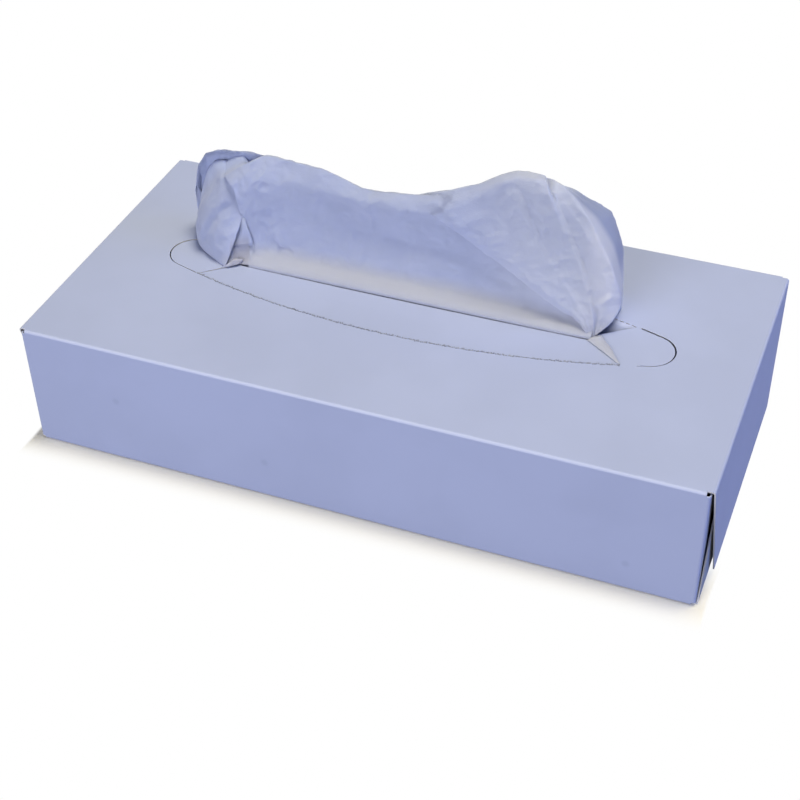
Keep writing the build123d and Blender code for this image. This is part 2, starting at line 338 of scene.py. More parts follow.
# Where painted light and shade change the tissue's colour: ramps, and then the tint's share and its colour.
# A ramp has an axis and the two places where the tint starts and is whole, in millimetres, with z measured
# from the top panel.
TISSUE_PAINTED_LIGHT = [
    # The fan at the right, where the sheet is doubled, painted lighter where it faces the lamps, and its
    # outer part with a painted highlight
    ([("x", 14, 40), ("z", 1, 7)], 0.9, TISSUE_FAN_PAINTED_LIGHT),
    ([("x", 50, 64), ("z", 1, 7)], 1.0, TISSUE_FAN_EDGE_PAINTED_HIGHLIGHT),
    # Painted warm light: the foot of the front at the slot, tinted cream where the warm light falls and the
    # blue fill is shaded off
    ([("z", 7, 1.8), ("y", 14, 9)], 1.0, TISSUE_PAINTED_WARM_LIGHT),
    # The lobe at the left end, darkened as painted shade
    ([("x", -64, -70)], 0.8, times(TISSUE_BLUE, 0.88)),
    # The layer behind the lobe, darkened as painted shade
    ([("x", -57, -63), ("y", 10, 13)], 0.9, TISSUE_REAR_PAINTED_SHADE),
    # The part of the fan that turns away at the right, darkened as painted shade
    ([("x", 44, 52), ("y", 12.5, 15.5), ("z", 12, 24)], 0.9, TISSUE_TURNED_PAINTED_SHADE),
    # The pocket between the lobe and the main face, tinted taupe as painted shade
    ([("x", -66, -65), ("x", -60, -61), ("z", 11, 6), ("y", 10, 8)], 0.6, TISSUE_POCKET_PAINTED_SHADE),
]


def tissue_height(tree, place, paper_height):
    """Paper fibre, the crepe's fine lines across the sheet, and small crumples."""
    ply_map = tree.nodes.new("ShaderNodeUVMap")
    ply_map.uv_map = "ply"
    crepe = add(tree, "ShaderNodeTexWave",
                {"Vector": ply_map.outputs[0], "Scale": 60.0, "Distortion": 6.0, "Detail": 3.0},
                bands_direction="Y")
    crumple = add(tree, "ShaderNodeTexNoise",
                  {"Vector": place, "Scale": 170.0, "Detail": 5.0, "Roughness": 0.6})
    height = calculate(tree, "ADD", paper_height, all_of(tree, crepe.outputs["Fac"], 0.09))
    return calculate(tree, "ADD", height, all_of(tree, crumple.outputs[0], 0.8))


def tissue_colour(tree, place, tone):
    """Blue-white with a cloudy tone, and the painted light and shade of the sheet's several parts."""
    x, y, z = split(tree, place)
    origins = {"x": (x, 0.0), "y": (y, 0.0), "z": (z, TOP)}
    colour = mixed(tree, ramp(tree, tone, 0.3, 0.7), TISSUE_BLUE, times(TISSUE_BLUE, 1.06))
    for ramps, share, tint in TISSUE_PAINTED_LIGHT:
        masks = []
        for axis, start, whole in ramps:
            part, origin = origins[axis]
            masks.append(ramp(tree, part, origin + start * MM, origin + whole * MM))
        colour = tinted(tree, colour, tint, share, all_of(tree, *masks))
    return colour


def tissue_material():
    """Creped tissue: blue-white above the carton, with painted warm light that turns it cream where it leaves
    the slot.
    """
    material, tree, surface = bare_material("creped_tissue")
    place = object_place(tree)
    paper = paper_fibre(tree, place, fibre_scale=1500.0, cloud_scale=130.0, fibre_share=0.45)
    height = tissue_height(tree, place, paper["Height"])
    finish_material(tree, surface, {
        "Base Color": tissue_colour(tree, place, paper["Tone"]),
        "Roughness": 0.9,
        "Specular IOR Level": 0.15,
        "Sheen Weight": 0.25,
        "Sheen Roughness": 0.6,
        "Subsurface Weight": 0.35,
        "Subsurface Radius": (1.0, 0.95, 1.1),
        "Subsurface Scale": 1.6 * MM,
        "Normal": raised_normal(tree, height, strength=0.45, distance=0.6 * MM),
    })
    return material


# Finish of the pack and of the torn fibres

def pack_material():
    """The pack's sheets, as fine uneven lines along its sides."""
    material, tree, surface = bare_material("pressed_tissues")
    place = object_place(tree)
    paper = paper_fibre(tree, place, fibre_scale=1100.0, cloud_scale=90.0, fibre_share=0.5)
    layers = add(tree, "ShaderNodeTexWave",
                 {"Vector": place, "Scale": 560.0, "Distortion": 1.5, "Detail": 2.0}, bands_direction="Z")
    lines = layers.outputs["Fac"]
    height = calculate(tree, "ADD", paper["Height"], lines)
    finish_material(tree, surface, {
        "Base Color": tinted(tree, PACK_WHITE, times(PACK_WHITE, 0.6), 0.25, lines),
        "Roughness": 0.95,
        "Normal": raised_normal(tree, height, strength=0.4, distance=0.2 * MM),
    })
    return material


def fibre_material():
    """Torn board fibres along the perforated crease, dark in part as painted shade of the perforation's cuts.
    """
    material, tree, surface = bare_material("torn_fibre")
    paper = paper_fibre(tree, object_place(tree), fibre_scale=2500.0, cloud_scale=400.0, fibre_share=0.5)
    finish_material(tree, surface, {
        "Base Color": mixed(tree, paper["Tone"], FIBRE_PAINTED_SHADE, FIBRE_PALE),
        "Roughness": 0.9,
    })
    return material


# Tissue's shape

# Each rib is a line on the tissue, as points in millimetres: x, y, and the height above the top panel. A rib
# has the part up the front to the crest, and the part from the crest down the back.

# The way out of the slot against the edge of the front flap: y and height
SLOT_WAY = [(1.82, -0.9), (1.62, -0.15), (1.70, 0.25)]

# A back drops behind a thin crest, and then runs straight down to its foot, just above the top panel
CREST_DROP = 3
MAIN_CREST = 1.1
MAIN_BACK = 26
LAP_CREST = 1.7
LAP_BACK = 27.2
LAP_BULGE = 1.5
BACK_FOOT = 0.6


def from_slot(x, further=0.0):
    """The start of a rib, which may lie a little further back than the flap's edge."""
    return [(x, y + further, height) for y, height in SLOT_WAY]


def main_rib(slot_x, further, back_places, front):
    """A rib of the main face."""
    middle_x, foot_x, foot_y = back_places
    x, y, height = front[-1]
    middle = (middle_x, (y + MAIN_BACK) / 2, height / 2)
    back = [(x, y + MAIN_CREST, height - CREST_DROP), middle, (foot_x, foot_y, BACK_FOOT)]
    return [*from_slot(slot_x, further), *front], back


def lap_rib(foot_x, front):
    """A rib of the lap, whose back goes down behind the main face's."""
    x, y, height = front[-1]
    middle = (round((x + foot_x) / 2, 1), (y + LAP_BACK) / 2 + LAP_BULGE, round(height / 2, 1))
    return front, [(x, y + LAP_CREST, height - CREST_DROP), middle, (foot_x, LAP_BACK, BACK_FOOT)]


# The left edge of the main face
LEFT_EDGE_RIBS = [
    ([(-59.8, 1.6, -0.6), (-59.8, 3.4, 1.4), (-61, 4.8, 6), (-62.8, 5.4, 13), (-64, 5.8, 20),
      (-65.1, 6, 25.4), (-66.6, 6.8, 27.8), (-69.6, 8.7, 29.3)],
     [(-70.2, 11.6, 29.8), (-71, 13.8, 31), (-71.2, 15.4, 31.4)]),
    ([*from_slot(-57.8), (-57.8, 3.3, 1.65), (-58, 4.8, 2.3), (-58.6, 6.6, 6), (-59.8, 7.1, 12),
     (-60.8, 7.2, 19), (-61.6, 7.3, 25), (-62.6, 8.3, 30.2), (-63.2, 11, 33.8)],
     [(-64.4, 13.4, 33.4), (-65, 15.6, 33.4), (-65.2, 17, 33)]),
]

# The main face: x at the slot, how much further back the rib starts, the back's x half way down and its x and
# y at the foot, and the front after the slot
MAIN_FACE = [
    (-54, 0, (-52, -52, 26), [(-54, 3.1, 1.35), (-54, 4.8, 2), (-54.4, 7.2, 3.6), (-55, 8.4, 9),
     (-56, 8.9, 17), (-56.8, 8.7, 24), (-56.6, 9.6, 29.8), (-56, 14.6, 36.8)]),
    (-48, 0, (-45, -45, 26), [(-48, 2.9, 1.35), (-48, 4.6, 1.7), (-48, 7.6, 2.8), (-48.3, 9.4, 8),
     (-49, 10.4, 16), (-49.5, 10.7, 24.5), (-49.2, 11.7, 30.2), (-47, 14.5, 36.2)]),
    (-36, 0, (-34, -34, 26), [(-36, 2.9, 1.35), (-36, 4.6, 1.6), (-36, 7.8, 2.4), (-36, 9.8, 8),
     (-36, 11.3, 15.5), (-36.4, 11.3, 24), (-36.4, 11.4, 29.6), (-36, 14.5, 35.3)]),
    (-26, 0, (-24, -24, 26), [(-26, 2.9, 1.35), (-26, 4.6, 1.6), (-26, 7.8, 2.4), (-26, 9.8, 8),
     (-26, 12, 14.5), (-26.5, 11.6, 22.5), (-26.3, 10.9, 28), (-25.5, 14.5, 32.2)]),
    (-18, 0, (-18, -18, 26), [(-18, 2.9, 1.35), (-18, 4.6, 1.6), (-18, 7.8, 2.5), (-18, 9.8, 8),
     (-18, 12.7, 14.5), (-18, 11.8, 22), (-18, 11, 25.6), (-18.1, 11.5, 28.2), (-18.5, 14.5, 30.7)]),
    (-4, 0, (-3, -3, 26), [(-4, 2.9, 1.25), (-4, 4.6, 1.6), (-4, 7.8, 2.6), (-4, 9.8, 8), (-4, 12.8, 14.5),
     (-4, 11.6, 22.5), (-4, 10.9, 27.2), (-3.7, 12.2, 30.4), (-3, 14.5, 32.6)]),
    (9, 0, (8, 8, 25.6), [(9, 2.9, 1.25), (9, 4.6, 1.6), (9, 7.8, 2.6), (9, 9.8, 8), (9, 12.6, 14.5),
     (8.5, 12.2, 24), (8.2, 11.4, 29.4), (8, 12.8, 32.8), (8, 14.9, 35.2)]),
    (23, 0, (21, 20, 25.4), [(23, 2.9, 1.25), (23, 4.6, 1.5), (23, 7.8, 2.4), (23, 9.6, 8), (23, 11.2, 16),
     (22, 14, 26), (21, 15, 34), (21.5, 16.4, 41)]),
    (39, 0, (35, 33, 25.4), [(39, 3, 1.15), (39, 4.6, 1.4), (39, 7.2, 2.4), (39, 8.8, 8), (38, 11.5, 16),
     (36, 14.5, 27), (35, 15.5, 38), (35, 17.5, 45.6)]),
    (52, 0, (46, 45, 25.4), [(52, 3.1, 1.05), (52, 4.2, 1.2), (52, 6, 2.4), (52, 7.4, 8), (51, 10.5, 16),
     (49, 14.5, 27), (47, 15.5, 37), (46, 18, 43)]),
    (61.5, 0.28, (52, 52, 25.4), [(61.5, 3.5, 1.15), (61.2, 4.8, 3), (60.5, 8, 9), (58.5, 11.5, 18),
     (55.5, 15, 27), (53, 16.5, 33), (51.5, 18.5, 36.5)]),
]
MAIN_RIBS = LEFT_EDGE_RIBS + [main_rib(*row) for row in MAIN_FACE]

# The lap, which is folded over the main face at the right and opens to a fan: x at the back's foot, and then
# the front
LAP = [
    (0, [(60.8, 2.4, -1.2), (57.1, 4.2, 2.6), (49.9, 5.3, 5.7), (37.3, 7, 11.6), (28.4, 8.2, 16.6),
     (19.6, 9.3, 20.6), (12, 10.3, 24.2), (5, 10.8, 27.4), (0.5, 11.9, 30), (-1.5, 14.8, 32.9)]),
    (8, [(61, 2.5, -1.2), (57.8, 3.4, 3.8), (50.9, 4.7, 7.7), (39.6, 6.5, 13.8), (31, 8, 18.9),
     (22.8, 9.2, 23.8), (15.5, 10.4, 28.2), (10, 12, 32), (8.5, 15.5, 36.2)]),
    (16, [(61.2, 2.8, -1.2), (58, 3.9, 4.9), (51.2, 5.3, 10.3), (41.4, 7.3, 17.5), (31.8, 9.2, 25.9),
     (25, 11, 33), (20.5, 13, 38.3), (18, 16, 40.2)]),
    (24, [(61.5, 3, -1.2), (58.3, 4, 5.8), (52.1, 5.9, 12.9), (44.5, 8.2, 21.8), (36.3, 9.8, 31.4),
     (31.4, 10.8, 39), (27.4, 12.5, 44.4), (25.6, 15.9, 45.1)]),
    (29, [(61.8, 3.2, -1.2), (59, 4.3, 5.9), (53.8, 6.1, 12.7), (46.8, 8.4, 22), (39.4, 10, 32),
     (35.2, 11, 39.8), (32, 12.6, 46.3), (30.6, 15.6, 47.6)]),
    (34, [(62, 3.2, -1.2), (59.9, 4.5, 6), (55.6, 6.2, 12.5), (49.8, 8.4, 22.2), (42.9, 9.9, 32.9),
     (39, 10.5, 41), (36.8, 11.8, 47.6), (35.8, 15.4, 48.3)]),
    (39, [(62.2, 3.3, -1.2), (60.9, 4.6, 6.2), (58.7, 6.1, 12.9), (54.7, 8.1, 22.2), (48.2, 9.8, 33.4),
     (43.8, 10.6, 42.4), (41.4, 12.4, 47.4), (39.8, 15.8, 47.8)]),
    (44, [(62.3, 3.6, -1.2), (61.1, 5.6, 8.1), (59.6, 7, 14.2), (56.7, 8.6, 21.8), (53, 9.8, 28.9),
     (47.6, 11.1, 38), (42.9, 12.9, 44), (39.1, 16.4, 46.8)]),
    (48, [(62.6, 4, -0.4), (64.2, 5.6, 5.7), (64.6, 6.2, 12.1), (63.3, 6.8, 19.1), (60.2, 8, 26),
     (55.4, 9.6, 33.6), (50.1, 11.2, 39.6), (44.7, 13.2, 43.8), (41, 16.6, 46.3)]),
    (51, [(63.3, 4.2, 0.9), (66.7, 6.4, 4.2), (69, 8, 9.2), (67.6, 8.2, 16.9), (64.2, 8.8, 25.7),
     (59.8, 10.1, 32.8), (55.6, 11.4, 38.5), (50.6, 13, 43.4), (46.4, 15, 45.7), (42.8, 17, 45.6)]),
    (54, [(66, 16.4, 0.6), (67.3, 17, 6.2), (66.9, 16.5, 14.3), (66, 16.5, 21.1), (64.1, 16.8, 28.5),
     (60.2, 17.4, 35.5), (54.3, 18, 39), (48.8, 18.6, 41.5), (44.7, 19, 43)]),
    (56, [(66.6, 20, 0.6), (66.4, 20, 11.9), (65.7, 20, 18.8), (65.1, 20, 24.8), (62.7, 20.4, 31.2),
     (60.2, 20.8, 35.6), (55.1, 21, 38.1), (49.4, 21.2, 40.3), (45.4, 21.2, 41.5)]),
    (58, [(63.4, 26.6, 0.6), (64.5, 27.5, 6.5), (63.6, 27.5, 13.5), (62.6, 27, 19.8), (60.3, 26.5, 26.2),
     (57.5, 26, 30.8), (53.2, 25.4, 33.6), (48.2, 25, 35.8), (44.6, 24.6, 37.1)]),
]
LAP_RIBS = [lap_rib(*row) for row in LAP]

# The lobe that bulges at the left end, and the layer behind it
LOBE_RIBS = [
    ([(-84.2, 11.6, 0.5), (-84.6, 11.2, 5), (-83.2, 10.8, 9.5), (-81, 10.4, 15.5)],
     [(-82, 13, 16.8), (-82.6, 15.8, 17.6)]),
    ([(-81.5, 7.2, 0.5), (-82, 6.6, 5), (-81.2, 6.8, 10.5), (-79.2, 8.2, 17), (-77.1, 10, 22.4)],
     [(-79, 13, 24.4), (-80, 16, 25.6)]),
    ([(-78.4, 4.4, 0.5), (-78.8, 3.6, 5), (-78, 4.2, 11), (-76.2, 6, 18.5), (-73.8, 9, 25.8)],
     [(-75.5, 12.5, 28.4), (-76.4, 15.6, 30)]),
    ([(-75.7, 2.6, 0.4), (-75.6, 1.8, 4.5), (-74.6, 2.4, 10.5), (-73, 4.6, 18.5), (-70.8, 8.6, 28.8)],
     [(-72, 12, 30.2), (-72.8, 15, 31.2)]),
    ([(-72, 0.6, 0.3), (-71.8, 0.2, 4.5), (-71, 1.2, 10.5), (-70.2, 3.6, 18), (-69.6, 6.4, 24.5),
      (-68.4, 9.4, 28.4)],
     [(-69, 12, 29.4), (-69.6, 15, 31)]),
    ([(-69, -1.2, 0.3), (-68, -0.8, 4.5), (-67, 1, 10.5), (-66.8, 3.8, 16.5), (-67.2, 6.2, 22),
      (-67.2, 8, 26), (-66.2, 9.6, 28.6)],
     [(-66.6, 11.4, 29.4), (-67, 13, 29.6)]),
    ([(-66.9, -2, 0.2), (-65, 0, 6), (-63.2, 2.8, 12.5), (-62.8, 5.9, 16.5), (-62, 8.4, 21), (-62, 9.6, 25),
      (-61.6, 11, 28)],
     [(-61.6, 12.4, 28.8), (-61.8, 13.4, 28.6)]),
]
REAR_RIBS = [
    ([(-86, 19, 0.6), (-86.5, 17.5, 8), (-85.6, 15.5, 15), (-84, 14.2, 20)],
     [(-84, 15.4, 17), (-84.5, 21, 10), (-84, 23, 0.6)]),
    ([(-83, 20, 0.6), (-83.5, 18.5, 10), (-83.6, 16, 20), (-82.5, 14.2, 27.7)],
     [(-82.5, 15.4, 24.7), (-82, 22.5, 14), (-81, 25, 0.6)]),
    ([(-80, 21, 0.6), (-80.5, 19.5, 12), (-80.5, 16.5, 24), (-79.4, 14.2, 32.8)],
     [(-79.4, 15.4, 29.8), (-79, 23, 17), (-78, 26, 0.6)]),
    ([(-75, 22, 0.6), (-75.5, 20, 13), (-75, 17, 26), (-74.5, 14.4, 35.2)],
     [(-74.5, 15.6, 32.2), (-74, 23.5, 19), (-74, 26.4, 0.6)]),
    ([(-68, 23, 0.6), (-68.5, 21, 14), (-69, 17.5, 27), (-69.5, 14.6, 35.8)],
     [(-69.5, 15.8, 32.8), (-68.5, 24, 20), (-68, 26.6, 0.6)]),
    ([(-60, 23.5, 0.6), (-60.5, 21.5, 15), (-61, 18.5, 28), (-61.8, 15.6, 36)],
     [(-61.8, 16.8, 33), (-61, 24.4, 21), (-60, 26.8, 0.6)]),
    ([(-54, 24, 0.6), (-54.5, 22, 15), (-55, 19, 27), (-56.6, 17, 34.5)],
     [(-56.6, 18.2, 31.5), (-55, 24.6, 21), (-54, 27, 0.6)]),
]

# Layers and edges in the pocket between the lobe and the main face, and the flake and the wedge that lie at
# the two ends of the slot
INNER_RIBS = [
    ([(-67.5, -0.4, 0.25), (-67, 0.8, 2), (-66.6, 1.6, 6), (-65.2, 3.6, 12), (-64.4, 5.2, 15)],
     [(-64.2, 5.6, 16), (-64, 6, 17)]),
    ([(-63.5, 1.4, -0.2), (-63.4, 2.6, 1.5), (-63.3, 3.8, 6), (-63, 5, 12), (-62.8, 6, 15)],
     [(-62.8, 6.3, 16), (-62.8, 6.6, 17)]),
    ([(-58, 2.6, -0.6), (-58.4, 4.4, 1.2), (-59.4, 5.6, 6), (-61.4, 6.2, 12), (-62, 6.6, 15)],
     [(-62.2, 6.9, 16), (-62.4, 7.2, 17)]),
]
PLY_RIBS = [
    ([(-66.2, 1.5, 6.6), (-65.2, 2.8, 10), (-64.6, 4.2, 13)],
     [(-64.4, 4.8, 14.5), (-64.2, 5.2, 16)]),
    ([(-63, 3.3, 6.2), (-62.8, 4.2, 10), (-62.8, 5, 13)],
     [(-62.8, 5.4, 14.5), (-62.8, 5.8, 16)]),
    ([(-59.4, 5, 6), (-60.2, 5.4, 10), (-61.4, 5.8, 13)],
     [(-61.8, 6, 14.5), (-62.2, 6.3, 16)]),
]
FLAKE_RIBS = [
    ([(-67.8, -2.6, 0.25), (-67, -2, 0.5), (-66.2, -1.2, 0.7)],
     [(-66, -1, 0.8), (-65.8, -0.8, 0.9)]),
    ([(-65.4, -1.6, 0.25), (-64.9, -0.6, 1.4), (-64.4, 0.2, 2.4)],
     [(-64.2, 0.6, 2.5), (-64, 1, 2.5)]),
    ([(-62.8, 0.8, 0.25), (-62.2, 1.6, 1), (-61.6, 2.4, 1.5)],
     [(-61.4, 2.8, 1.5), (-61.2, 3.2, 1.4)]),
]
WEDGE_RIBS = [
    ([(60.6, 1, -0.5), (66.3, -3, -0.1), (73.3, -8.4, 0.15)],
     [(73.5, -8.5, 0.15), (73.6, -8.6, 0.15)]),
    ([(62, 2.2, 0.2), (67.6, -2.4, 0.35), (73.5, -8.3, 0.2)],
     [(73.6, -8.4, 0.2), (73.7, -8.5, 0.15)]),
    ([(64.3, 4, 0.35), (69, -1.2, 0.3), (73.7, -8.2, 0.2)],
     [(73.8, -8.3, 0.2), (73.9, -8.4, 0.15)]),
]

# Below the slot: share of the width at the slot, y and height, down the neck, out over the pack and back
FOOT = [(1.0, 4.0, -1.5), (1.0, 6.2, -3.4), (1.0, 6.7, -7), (1.02, 6.8, -12), (1.06, 7.6, -15),
        (1.2, 12, -16.05), (1.5, 30, -16.15), (1.58, 51, -16.1), (1.58, 53, -15.7), (1.58, 51, -15.3),
        (1.5, 30, -15.3), (1.42, 14, -15.25)]

# Folds pressed into the front, as points (x, height), with a width and a depth towards the front
FOLDS = [
    ([(22.8, 42.5), (25.6, 38), (28, 32), (31, 26), (36, 19)], 2.2, -0.2),
    ([(26.6, 43.6), (30, 38), (34, 31), (39.6, 22), (47, 13.5)], 1.8, 0.25),
    ([(33.4, 46), (36.6, 38), (41.6, 28), (48, 17), (56, 6)], 1.8, -0.15),
    ([(40.6, 45.5), (44.6, 40), (50, 31), (55.6, 21), (59.4, 12), (60.8, 6)], 1.5, 0.3),
    ([(47, 43), (53, 36.5), (57.6, 28.6), (61, 20), (61.8, 12)], 1.8, -0.2),
    ([(49.6, 44.4), (55.2, 38.8), (59.8, 32.8), (64.2, 26), (67.8, 18.4), (69.4, 12)], 1.1, 0.5),
    ([(61.8, 9.6), (63.8, 12), (66.6, 14.4)], 0.9, 0.9),
    ([(62, 10), (62.1, 5), (62.2, 0)], 0.6, -0.9),
    ([(-57, 33.5), (-48, 30.2), (-31, 29.6), (-15, 29.4), (0, 29.6), (10, 30.6)], 3.0, 0.25),
    ([(-46, 22), (-30, 21.5), (-14, 21.5), (2, 22), (12, 23)], 5.5, -0.5),
    ([(-54, 8), (-50, 4.6), (-45, 3.2)], 0.8, -1.1),
    ([(-52, 11), (-50.6, 7), (-50, 4)], 0.8, 0.8),
    ([(-63, 21), (-66.5, 20), (-70.2, 17.5), (-74.6, 11), (-77.2, 5)], 1.5, -1.0),
    ([(-63.5, 24), (-68, 22.5), (-72.5, 18.5), (-77, 11), (-79.5, 5)], 2.0, 0.6),
    ([(-66, 29), (-69.5, 25), (-73, 20)], 2.0, 0.25),
    ([(-68, 14), (-71.5, 9), (-73, 3)], 2.0, 0.3),
    ([(-64, 30), (-60.5, 22), (-58, 12)], 1.6, 0.4),
    ([(-20, 30), (-17, 22), (-16, 13)], 1.3, -0.3),
    ([(5, 27), (2, 20), (3, 10)], 1.5, 0.25),
    ([(-37, 27), (-39, 18), (-36, 9)], 1.6, 0.25),
]

# A fold fades over a fifth of its length at each end. It is whole in front of the first y, and gone behind
# the second one.
FOLD_FADE = 5
FOLD_WHOLE_Y = 11
FOLD_GONE_Y = 15
FOLD_SHARPNESS = 1.3

# Small crumples: the height from which they are whole, each noise's scale and its size in millimetres, and
# how far the sharp ones are moved aside
CRUMPLE_SEED = 7
CRUMPLE_FULL_HEIGHT = 4
SOFT_CRUMPLES = (110.0, 0.3)
SHARP_CRUMPLES = [(90.0, 0.5, Vector((7, 3, 1))), (180.0, 0.6, Vector()), (380.0, 0.4, Vector())]
SHARP_DEPTH = 1.3

# Mesh: the faces' size in millimetres, and how much longer they are down the back
FINE = 0.8
BACK_COARSER = 2
# How tight the curves along a rib and across the ribs are, and their steps from each given point to the next
ALONG_TENSION = 0.25
ACROSS_TENSION = 0.6
RIB_STEPS = 10
FOOT_STEPS = 3
# The tissue's width is measured on every eighth row, and its map is in tenths of a metre
WIDTH_SAMPLE = 8
MAP_UNIT = 100


def smooth_path(points, steps, tension=ALONG_TENSION):
    """Points on a curve through the given ones, with soft corners, and some steps from each to the next."""
    points = np.asarray(points, float)
    padded = np.concatenate([[2 * points[0] - points[1]], points, [2 * points[-1] - points[-2]]])
    made = []
    for i in range(1, len(padded) - 2):
        a, b, c, d = padded[i - 1 : i + 3]
        first, last = (c - a) * (1 - tension) / 2, (d - b) * (1 - tension) / 2
        for t in np.arange(steps) / steps:
            cube, square = t ** 3, t ** 2
            made.append(
                (2 * cube - 3 * square + 1) * b + (cube - 2 * square + t) * first
                + (3 * square - 2 * cube) * c + (cube - square) * last
            )
    made.append(points[-1])
    return np.array(made)


def distance_along(path):
    """How far each point of a path is from its start."""
    return np.concatenate([[0], np.cumsum(np.linalg.norm(np.diff(path, axis=0), axis=1))])


def length_of(path):
    """A path's length."""
    return float(np.sum(np.linalg.norm(np.diff(path, axis=0), axis=1)))


def spread_evenly(path, count):
    """The same curve with its points evenly far apart."""
    gone = distance_along(path)
    wanted = np.linspace(0, gone[-1], count)
    return np.stack([np.interp(wanted, gone, path[:, k]) for k in range(3)], axis=1)


def rib_rows(ribs):
    """A grid of points, with a row for each place up the front and down the back."""
    fronts = [smooth_path(front, RIB_STEPS) for front, back in ribs]
    backs = [smooth_path([front[-1], *back], RIB_STEPS) for front, back in ribs]
    front_count = 1 + int(max(length_of(p) for p in fronts) / FINE)
    back_count = 1 + int(max(length_of(p) for p in backs) / FINE / BACK_COARSER)
    lines = np.array([
        np.concatenate([spread_evenly(front, front_count), spread_evenly(back, back_count)[1:]])
        for front, back in zip(fronts, backs)
    ])
    width = max(length_of(lines[:, i]) for i in range(0, lines.shape[1], WIDTH_SAMPLE))
    steps = max(2, int(width / FINE / (len(ribs) - 1)))
    return np.array([smooth_path(lines[:, i], steps, ACROSS_TENSION) for i in range(lines.shape[1])])


def fold_shift(x, height, line, width, depth):
    """How far one fold moves each point towards the front."""
    line = np.array(line, float)
    gone = distance_along(line)
    nearest = np.full_like(x, np.inf)
    along = np.zeros_like(x)
    for i in range(len(line) - 1):
        run = line[i + 1] - line[i]
        size = float(run @ run)
        t = np.clip(((x - line[i][0]) * run[0] + (height - line[i][1]) * run[1]) / size, 0, 1)
        distance = np.hypot(x - line[i][0] - t * run[0], height - line[i][1] - t * run[1])
        closer = distance < nearest
        nearest = np.where(closer, distance, nearest)
        along = np.where(closer, (gone[i] + t * math.sqrt(size)) / gone[-1], along)
    fade = np.clip(np.minimum(along, 1 - along) * FOLD_FADE, 0, 1)
    return depth * fade * np.exp(-((nearest / width) ** FOLD_SHARPNESS))


def crumpled(place):
    """A point of the tissue with its small crumples, which come in above the top panel."""
    rise = min(1.0, place[2] / CRUMPLE_FULL_HEIGHT)
    if rise <= 0:
        return place
    point = Vector(place) * MM
    scale, size = SOFT_CRUMPLES
    soft = np.array(noise.noise_vector(point * scale) * size)
    sharp = sum(size * abs(noise.noise(point * scale + aside)) for scale, size, aside in SHARP_CRUMPLES)
    moved = place + soft * rise
    moved[1] += sharp * rise * SHARP_DEPTH
    return moved


def press_folds(rows):
    """The folds moved into the front of the tissue, and small crumples all over it."""
    x, y, height = rows[..., 0], rows[..., 1], rows[..., 2]
    shift = sum(fold_shift(x, height, *fold) for fold in FOLDS)
    pressed = rows.copy()
    pressed[..., 1] -= shift * np.clip((FOLD_GONE_Y - y) / (FOLD_GONE_Y - FOLD_WHOLE_Y), 0, 1)
    for index in np.ndindex(x.shape):
        pressed[index] = crumpled(pressed[index])
    return pressed


def with_foot(rows):
    """The main sheet with its neck and foot added below the slot."""
    first = rows[0]
    low = [first]
    for share, y, height in FOOT:
        line = np.empty_like(first)
        line[:, 0] = first[:, 0] * share
        line[:, 1] = y
        line[:, 2] = height
        low.insert(0, line)
    low = np.array(low)
    lower = np.array([smooth_path(low[:, j], FOOT_STEPS) for j in range(low.shape[1])]).transpose(1, 0, 2)
    return np.concatenate([lower[:-1], rows])


def in_scene(name, data):
    """A new object in the scene."""
    made = bpy.data.objects.new(name, data)
    bpy.context.scene.collection.objects.link(made)
    return made


def sheet_mesh(name, grids):
    """One mesh from several grids of points in millimetres, with a map of the flat sheet."""
    points, faces, places = [], [], []
    for rows in grids:
        start = len(points)
        tall, wide = rows.shape[:2]
        high = length_of(rows[:, wide // 2]) / MAP_UNIT
        broad = length_of(rows[tall // 2]) / MAP_UNIT
        points += [tuple(p) for p in rows.reshape(-1, 3) * MM + np.array([0, 0, TOP])]
        places += [(broad * j / (wide - 1), high * i / (tall - 1)) for i in range(tall) for j in range(wide)]
        for i in range(tall - 1):
            for j in range(wide - 1):
                corner = start + i * wide + j
                faces.append((corner, corner + 1, corner + wide + 1, corner + wide))
    mesh = bpy.data.meshes.new(name)
    mesh.from_pydata(points, [], faces)
    ply = mesh.uv_layers.new(name="ply")
    for loop in mesh.loops:
        ply.data[loop.index].uv = places[loop.vertex_index]
    mesh.polygons.foreach_set("use_smooth", [True] * len(mesh.polygons))
    return in_scene(name, mesh)


def raised_tissue():
    """The tissue: its main sheet with neck and foot, the lap at the right and the folds at the left."""
    noise.seed_set(CRUMPLE_SEED)
    grids = [with_foot(press_folds(rib_rows(MAIN_RIBS)))]
    for ribs in (LAP_RIBS, LOBE_RIBS, REAR_RIBS, INNER_RIBS, PLY_RIBS, FLAKE_RIBS, WEDGE_RIBS):
        grids.append(press_folds(rib_rows(ribs)))
    piece = sheet_mesh("tissue_sheet", grids)
    solid = piece.modifiers.new("ply", "SOLIDIFY")
    solid.thickness = TISSUE_PLY
    solid.offset = 0.0
    piece.data.materials.append(tissue_material())
    return piece


# Torn fibres along the perforated crease

# A fibre's three sides are shares of the length below, and its other values are limits of random draws
FIBRE_SIZE = (0.50, 0.27, 0.12)
FIBRE_SPACING = 0.55 * MM
FIBRE_LENGTH = 1.5 * MM
FIBRE_SPREAD = 0.30 * MM
FIBRE_SEED = 7
FIBRE_SCALES = (0.4, 1.0)
FIBRE_ASIDE = ((-1.0, -1.0, 0.0), (1.0, 1.0, 0.3))
FIBRE_TURNS = ((-0.2, -0.2, -1.4), (0.2, 0.2, 1.4))
FIBRE_INPUTS = {
    "Spacing": ("NodeSocketFloat", FIBRE_SPACING),
    "Length": ("NodeSocketFloat", FIBRE_LENGTH),
    "Spread": ("NodeSocketFloat", FIBRE_SPREAD),
    "Seed": ("NodeSocketInt", FIBRE_SEED),
}
CREASE_POINTS = 121
CREASE_RISE = 0.06 * MM


